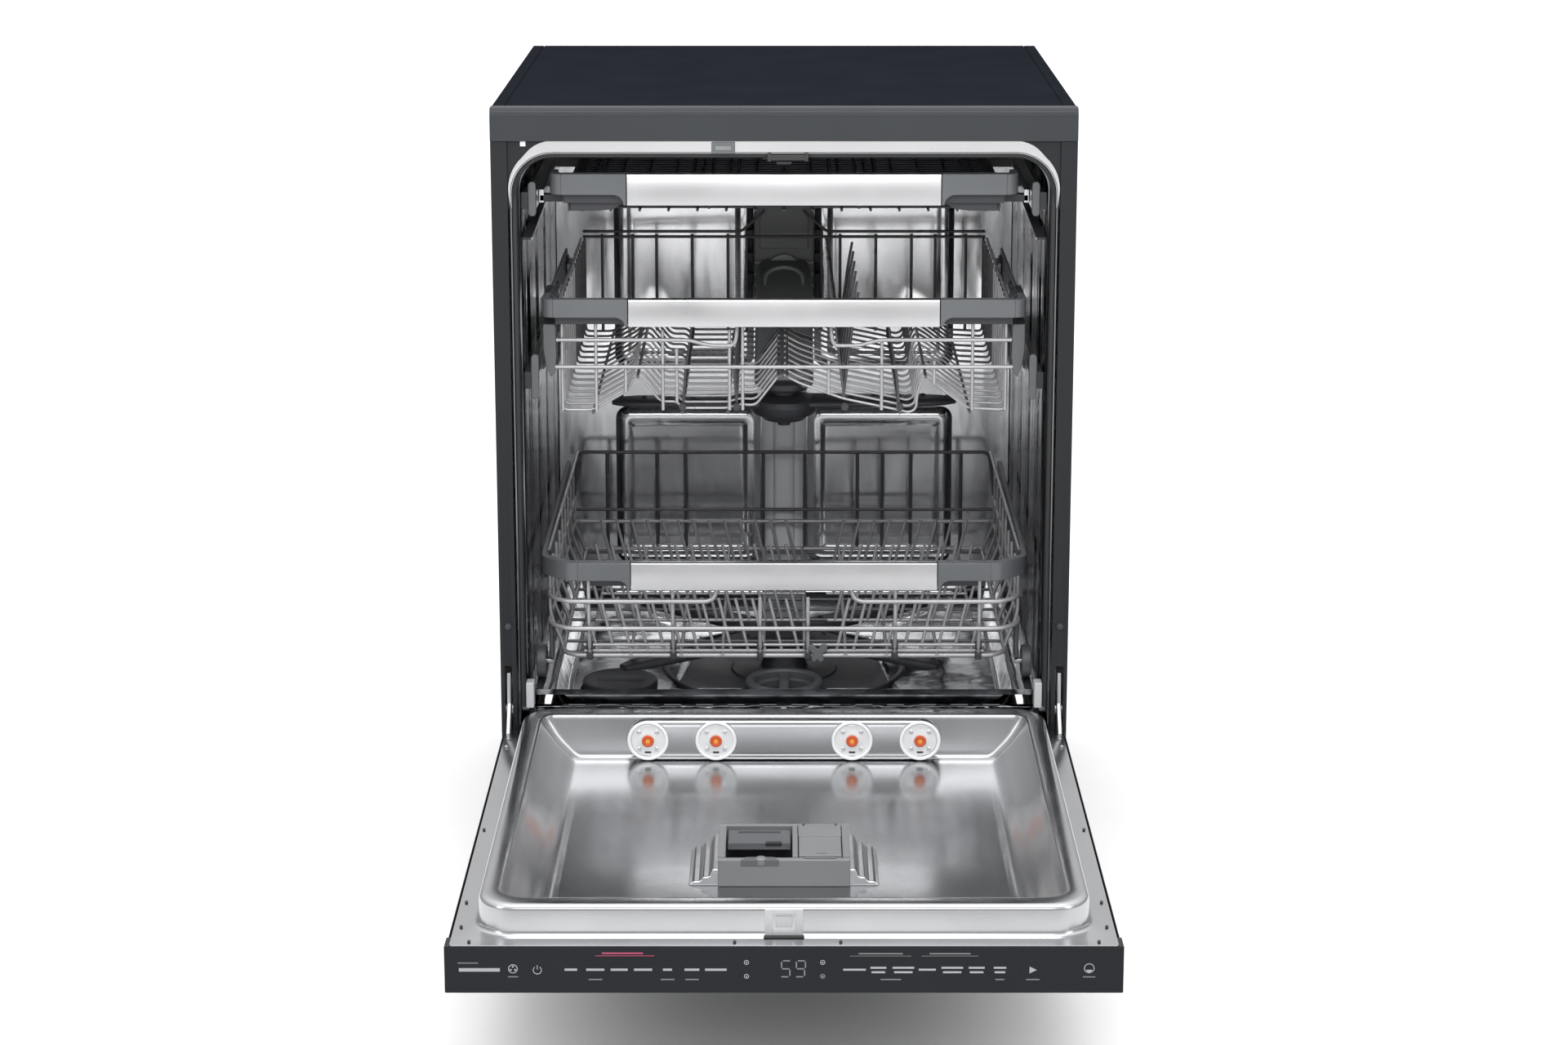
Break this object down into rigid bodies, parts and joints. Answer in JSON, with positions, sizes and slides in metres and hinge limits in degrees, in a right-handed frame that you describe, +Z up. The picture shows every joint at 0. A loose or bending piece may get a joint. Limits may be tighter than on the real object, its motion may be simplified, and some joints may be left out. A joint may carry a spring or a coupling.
{
  "type": "dishwasher",
  "caption": "Full-size dishwasher with its door open flat, a cutlery tray, two wire racks, spray arms, sump and own worktop.",
  "frame": {"origin": "on the floor, under the middle of the box that holds the cabinet and the open door", "axes": "+X to the right seen from the front, +Y back into the cabinet, +Z up"},
  "size_m": [0.6, 1.172, 0.85],
  "materials": {
    "charcoal_paint": "satin, dark charcoal",
    "worktop_laminate": "fine matt laminate on chipboard",
    "trim_plastic": "satin",
    "zinc_steel": "zinc plated",
    "stainless": "bright rolled stainless",
    "gloss_black": "gloss",
    "seal_rubber": "matt",
    "foot_plastic": "matt",
    "dark_plastic": "fine moulded texture",
    "grey_plastic": "fine moulded texture",
    "pale_plastic": "satin",
    "rack_wire": "nylon coated steel wire"
  },
  "bodies": {
    "cabinet": {"left_side_panel": "charcoal_paint", "right_side_panel": "charcoal_paint", "back_cover": "zinc_steel", "worktop": "worktop_laminate", "worktop_front_trim": "trim_plastic", "base_pan": "dark_plastic", "kick_plate": "charcoal_paint", "tub_wrap": "stainless", "tub_floor": "stainless", "tub_back_wall": "stainless", "door_gasket": "seal_rubber", "latch_strike": "dark_plastic", "rear_water_duct": "pale_plastic", "rear_docking_duct": "dark_plastic", "sump": "dark_plastic", "wash_pump": "zinc_steel", "drain_pump": "dark_plastic", "steam_generator": "zinc_steel", "inlet_valve": "pale_plastic", "door_spring_left": "zinc_steel", "door_spring_right": "zinc_steel"},
    "door": {"door_outer_panel": "charcoal_paint", "door_inner_liner": "stainless", "control_panel": "gloss_black", "steam_nozzle_bar": "stainless", "dispenser_housing": "grey_plastic", "latch_plate": "pale_plastic", "hinge_arm_left": "zinc_steel", "hinge_arm_right": "zinc_steel"},
    "power_button": {"power_button": "gloss_black"},
    "start_button": {"start_button": "gloss_black"},
    "detergent_lid": {"detergent_lid": "dark_plastic"},
    "rinse_aid_lid": {"rinse_aid_lid": "grey_plastic"},
    "top_rack": {"cutlery_tray": "dark_plastic", "top_rack_handle": "grey_plastic"},
    "top_rails": {"top_rail_left": "stainless", "top_rail_right": "stainless"},
    "upper_carriage": {"height_adjuster_left": "grey_plastic", "height_adjuster_right": "grey_plastic"},
    "upper_rack": {"upper_rack_basket": "rack_wire", "upper_rack_handle": "grey_plastic", "upper_feed_duct": "dark_plastic"},
    "upper_rails": {"upper_rail_left": "stainless", "upper_rail_right": "stainless"},
    "upper_spray_arm": {"upper_spray_arm": "dark_plastic"},
    "lower_rack": {"lower_rack_basket": "rack_wire", "lower_rack_rim": "grey_plastic"},
    "tine_row_left": {"tine_row_left": "rack_wire"},
    "tine_row_right": {"tine_row_right": "rack_wire"},
    "wheel_front_left": {"wheel_front_left": "grey_plastic"},
    "wheel_front_right": {"wheel_front_right": "grey_plastic"},
    "wheel_rear_left": {"wheel_rear_left": "grey_plastic"},
    "wheel_rear_right": {"wheel_rear_right": "grey_plastic"},
    "lower_spray_arm": {"lower_spray_arm": "dark_plastic"},
    "filter_cylinder": {"filter_cylinder": "dark_plastic"},
    "salt_cap": {"salt_cap": "dark_plastic"},
    "foot_front_left": {"foot_front_left": "foot_plastic"},
    "foot_front_right": {"foot_front_right": "foot_plastic"},
    "foot_rear_left": {"foot_rear_left": "foot_plastic"},
    "foot_rear_right": {"foot_rear_right": "foot_plastic"}
  },
  "joints": [
    {"name": "door_hinge", "type": "hinge", "parent": "cabinet", "child": "door", "pos_m": [0, 0.02, 0.205], "axis": [1, 0, 0], "range_deg": [-90, 0]},
    {"name": "power_button_press", "type": "slide", "parent": "door", "child": "power_button", "axis": [0, 1, 0], "range_m": [0, 0.0015], "stiffness_N_per_m": 600},
    {"name": "start_button_press", "type": "slide", "parent": "door", "child": "start_button", "axis": [0, 1, 0], "range_m": [0, 0.0015], "stiffness_N_per_m": 600},
    {"name": "detergent_lid_slide", "type": "slide", "parent": "door", "child": "detergent_lid", "axis": [0, -1, 0], "range_m": [0, 0.032]},
    {"name": "rinse_aid_lid_hinge", "type": "hinge", "parent": "door", "child": "rinse_aid_lid", "pos_m": [0.034, -0.349, 0.2], "axis": [-1, 0, 0], "range_deg": [0, 85]},
    {"name": "top_rack_slide", "type": "slide", "parent": "cabinet", "child": "top_rack", "axis": [0, -1, 0], "range_m": [0, 0.42]},
    {"name": "top_rails_slide", "type": "slide", "parent": "cabinet", "child": "top_rails", "axis": [0, -1, 0], "range_m": [0, 0.21]},
    {"name": "upper_rack_slide", "type": "slide", "parent": "cabinet", "child": "upper_carriage", "axis": [0, -1, 0], "range_m": [0, 0.44]},
    {"name": "upper_rails_slide", "type": "slide", "parent": "cabinet", "child": "upper_rails", "axis": [0, -1, 0], "range_m": [0, 0.22]},
    {"name": "upper_rack_lift", "type": "slide", "parent": "upper_carriage", "child": "upper_rack", "axis": [0, 0, 1], "range_m": [0, 0.04]},
    {"name": "upper_spray_arm_spin", "type": "hinge", "parent": "upper_rack", "child": "upper_spray_arm", "pos_m": [0, 0.256, 0.48], "axis": [0, 0, 1], "continuous": true},
    {"name": "lower_rack_slide", "type": "slide", "parent": "cabinet", "child": "lower_rack", "axis": [0, -1, 0], "range_m": [0, 0.45]},
    {"name": "tine_fold_left", "type": "hinge", "parent": "lower_rack", "child": "tine_row_left", "pos_m": [-0.092, 0.164, 0.26], "axis": [-1, 0, 0], "range_deg": [0, 85]},
    {"name": "tine_fold_right", "type": "hinge", "parent": "lower_rack", "child": "tine_row_right", "pos_m": [0.128, 0.164, 0.26], "axis": [-1, 0, 0], "range_deg": [0, 85]},
    {"name": "wheel_front_left_roll", "type": "hinge", "parent": "lower_rack", "child": "wheel_front_left", "pos_m": [-0.2625, 0.096, 0.235], "axis": [1, 0, 0], "range_deg": [0, 1460]},
    {"name": "wheel_front_right_roll", "type": "hinge", "parent": "lower_rack", "child": "wheel_front_right", "pos_m": [0.2625, 0.096, 0.235], "axis": [1, 0, 0], "range_deg": [0, 1460]},
    {"name": "wheel_rear_left_roll", "type": "hinge", "parent": "lower_rack", "child": "wheel_rear_left", "pos_m": [-0.2625, 0.406, 0.235], "axis": [1, 0, 0], "range_deg": [0, 1460]},
    {"name": "wheel_rear_right_roll", "type": "hinge", "parent": "lower_rack", "child": "wheel_rear_right", "pos_m": [0.2625, 0.406, 0.235], "axis": [1, 0, 0], "range_deg": [0, 1460]},
    {"name": "lower_spray_arm_spin", "type": "hinge", "parent": "cabinet", "child": "lower_spray_arm", "pos_m": [0, 0.221, 0.229], "axis": [0, 0, 1], "continuous": true},
    {"name": "filter_turn", "type": "hinge", "parent": "cabinet", "child": "filter_cylinder", "pos_m": [0, 0.124, 0.2], "axis": [0, 0, 1], "range_deg": [0, 60]},
    {"name": "salt_cap_turn", "type": "hinge", "parent": "cabinet", "child": "salt_cap", "pos_m": [-0.181, 0.146, 0.2], "axis": [0, 0, 1], "range_deg": [0, 180]},
    {"name": "foot_front_left_screw", "type": "slide", "parent": "cabinet", "child": "foot_front_left", "axis": [0, 0, -1], "range_m": [0, 0.03]},
    {"name": "foot_front_right_screw", "type": "slide", "parent": "cabinet", "child": "foot_front_right", "axis": [0, 0, -1], "range_m": [0, 0.03]},
    {"name": "foot_rear_left_screw", "type": "slide", "parent": "cabinet", "child": "foot_rear_left", "axis": [0, 0, -1], "range_m": [0, 0.03]},
    {"name": "foot_rear_right_screw", "type": "slide", "parent": "cabinet", "child": "foot_rear_right", "axis": [0, 0, -1], "range_m": [0, 0.03]}
  ],
  "couplings": [
    {"joint": "top_rails_slide", "follows": "top_rack_slide", "ratio": 0.5},
    {"joint": "upper_rails_slide", "follows": "upper_rack_slide", "ratio": 0.5},
    {"joint": "wheel_front_left_roll", "follows": "lower_rack_slide", "rad_per_m": 56.497},
    {"joint": "wheel_front_right_roll", "follows": "lower_rack_slide", "rad_per_m": 56.497},
    {"joint": "wheel_rear_left_roll", "follows": "lower_rack_slide", "rad_per_m": 56.497},
    {"joint": "wheel_rear_right_roll", "follows": "lower_rack_slide", "rad_per_m": 56.497}
  ]
}
